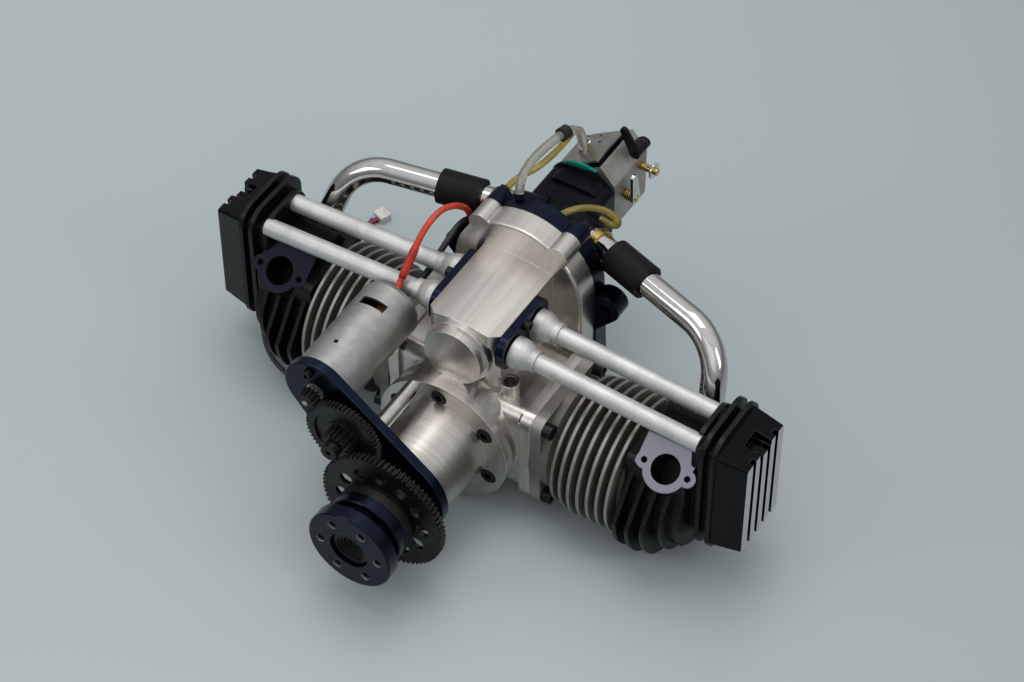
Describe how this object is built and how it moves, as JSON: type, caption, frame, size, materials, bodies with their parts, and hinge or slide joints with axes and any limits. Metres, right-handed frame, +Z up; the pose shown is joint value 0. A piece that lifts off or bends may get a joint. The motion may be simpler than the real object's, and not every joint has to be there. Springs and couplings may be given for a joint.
{
  "type": "flat twin model aircraft engine",
  "caption": "Air-cooled boxer engine for a large model aircraft, with overhead valves, rear carburettor, chromed intake pipes, geared electric starter and a bolted propeller hub.",
  "frame": {"origin": "centre of the propeller bolt circle on the hub's front face", "axes": "+Y runs back along the crankshaft, +X along the right-hand cylinder as seen from the propeller, +Z up towards the cam box"},
  "size_m": [0.3334, 0.266, 0.1491],
  "materials": {
    "blue_anodised": "satin",
    "black_steel": "satin",
    "steel": "satin",
    "zinc_steel": "satin",
    "machined_aluminium": "polished",
    "cast_aluminium": "matte",
    "black_aluminium": "satin",
    "chrome": "polished",
    "black_rubber": "matte",
    "teal_gasket": "matte",
    "brass": "satin",
    "clear_tube": "gloss",
    "yellow_tube": "gloss",
    "red_lead": "satin",
    "black_lead": "satin",
    "black_plastic": "matte",
    "white_plastic": "matte"
  },
  "bodies": {
    "engine": {"backplate": "blue_anodised", "backplate_screws": "black_steel", "breather_hose": "clear_tube", "carb_body": "machined_aluminium", "carb_cover": "machined_aluminium", "carb_gasket": "teal_gasket", "crankcase": "machined_aluminium", "cylinder_left": "cast_aluminium", "cylinder_right": "cast_aluminium", "cylinder_screws": "black_steel", "front_housing": "machined_aluminium", "fuel_loop": "yellow_tube", "fuel_tube": "yellow_tube", "head_left": "black_aluminium", "head_right": "black_aluminium", "hose_clamp": "black_steel", "housing_screws": "black_steel", "idler_pin": "steel", "intake_hose_left": "black_rubber", "intake_hose_right": "black_rubber", "intake_manifold": "black_aluminium", "intake_pipe_left": "chrome", "intake_pipe_right": "chrome", "lead_connector": "black_plastic", "main_bearings": "steel", "manifold_stubs": "chrome", "motor_can": "zinc_steel", "motor_lead_black": "black_lead", "motor_lead_red": "red_lead", "motor_screws": "black_steel", "pushrod_tubes": "cast_aluminium", "rocker_cover_left": "black_aluminium", "rocker_cover_right": "black_aluminium", "sensor_cable": "black_lead", "sensor_plug": "white_plastic", "spark_plug_left": "chrome", "spark_plug_right": "chrome", "standoff_rod": "machined_aluminium", "starter_plate": "blue_anodised", "stub_rings": "brass", "tappet_plate_left": "blue_anodised", "tappet_plate_right": "blue_anodised", "tappet_screws": "black_steel", "throttle_spring": "steel", "tube_collars": "cast_aluminium"},
    "crank": {"prop_hub": "blue_anodised", "prop_retainer": "black_steel", "crankshaft": "steel", "crank_gear": "black_steel", "timing_pinion": "steel"},
    "idler": {"idler_gear": "black_steel"},
    "starter_rotor": {"motor_pinion": "steel", "motor_armature": "steel"},
    "cam": {"camshaft": "steel", "cam_gear": "steel"},
    "piston_r": {"piston_right": "machined_aluminium"},
    "piston_l": {"piston_left": "machined_aluminium"},
    "throttle": {"throttle_shaft": "steel"},
    "choke": {"choke_lever": "black_steel"},
    "needle": {"idle_screw": "brass"}
  },
  "joints": [
    {"name": "crank_spin", "type": "hinge", "parent": "engine", "child": "crank", "pos_m": [0, 0.06, 0], "axis": [0, 1, 0], "continuous": true},
    {"name": "idler_spin", "type": "hinge", "parent": "engine", "child": "idler", "pos_m": [-0.0286, 0.0385, 0.03278], "axis": [0, 1, 0], "continuous": true},
    {"name": "starter_spin", "type": "hinge", "parent": "engine", "child": "starter_rotor", "pos_m": [-0.04948, 0.08, 0.04892], "axis": [0, 1, 0], "continuous": true},
    {"name": "camshaft_spin", "type": "hinge", "parent": "engine", "child": "cam", "pos_m": [0, 0.14, 0.054], "axis": [0, 1, 0], "continuous": true},
    {"name": "piston_slide_right", "type": "slide", "parent": "engine", "child": "piston_r", "axis": [-1, 0, 0], "range_m": [0, 0.036]},
    {"name": "piston_slide_left", "type": "slide", "parent": "engine", "child": "piston_l", "axis": [1, 0, 0], "range_m": [0, 0.036]},
    {"name": "throttle_turn", "type": "hinge", "parent": "engine", "child": "throttle", "pos_m": [0, 0.243, 0.062], "axis": [1, 0, 0], "range_deg": [0, 75]},
    {"name": "choke_turn", "type": "hinge", "parent": "engine", "child": "choke", "pos_m": [0.02, 0.253, 0.087], "axis": [0, 1, 0], "range_deg": [0, 60]},
    {"name": "needle_turn", "type": "hinge", "parent": "engine", "child": "needle", "pos_m": [0.025, 0.259, 0.07], "axis": [1, 0, 0], "range_deg": [-180, 180]}
  ],
  "couplings": [
    {"joint": "idler_spin", "follows": "crank_spin", "ratio": -4.8},
    {"joint": "starter_spin", "follows": "crank_spin", "ratio": 21.6},
    {"joint": "camshaft_spin", "follows": "crank_spin", "ratio": -0.5}
  ]
}
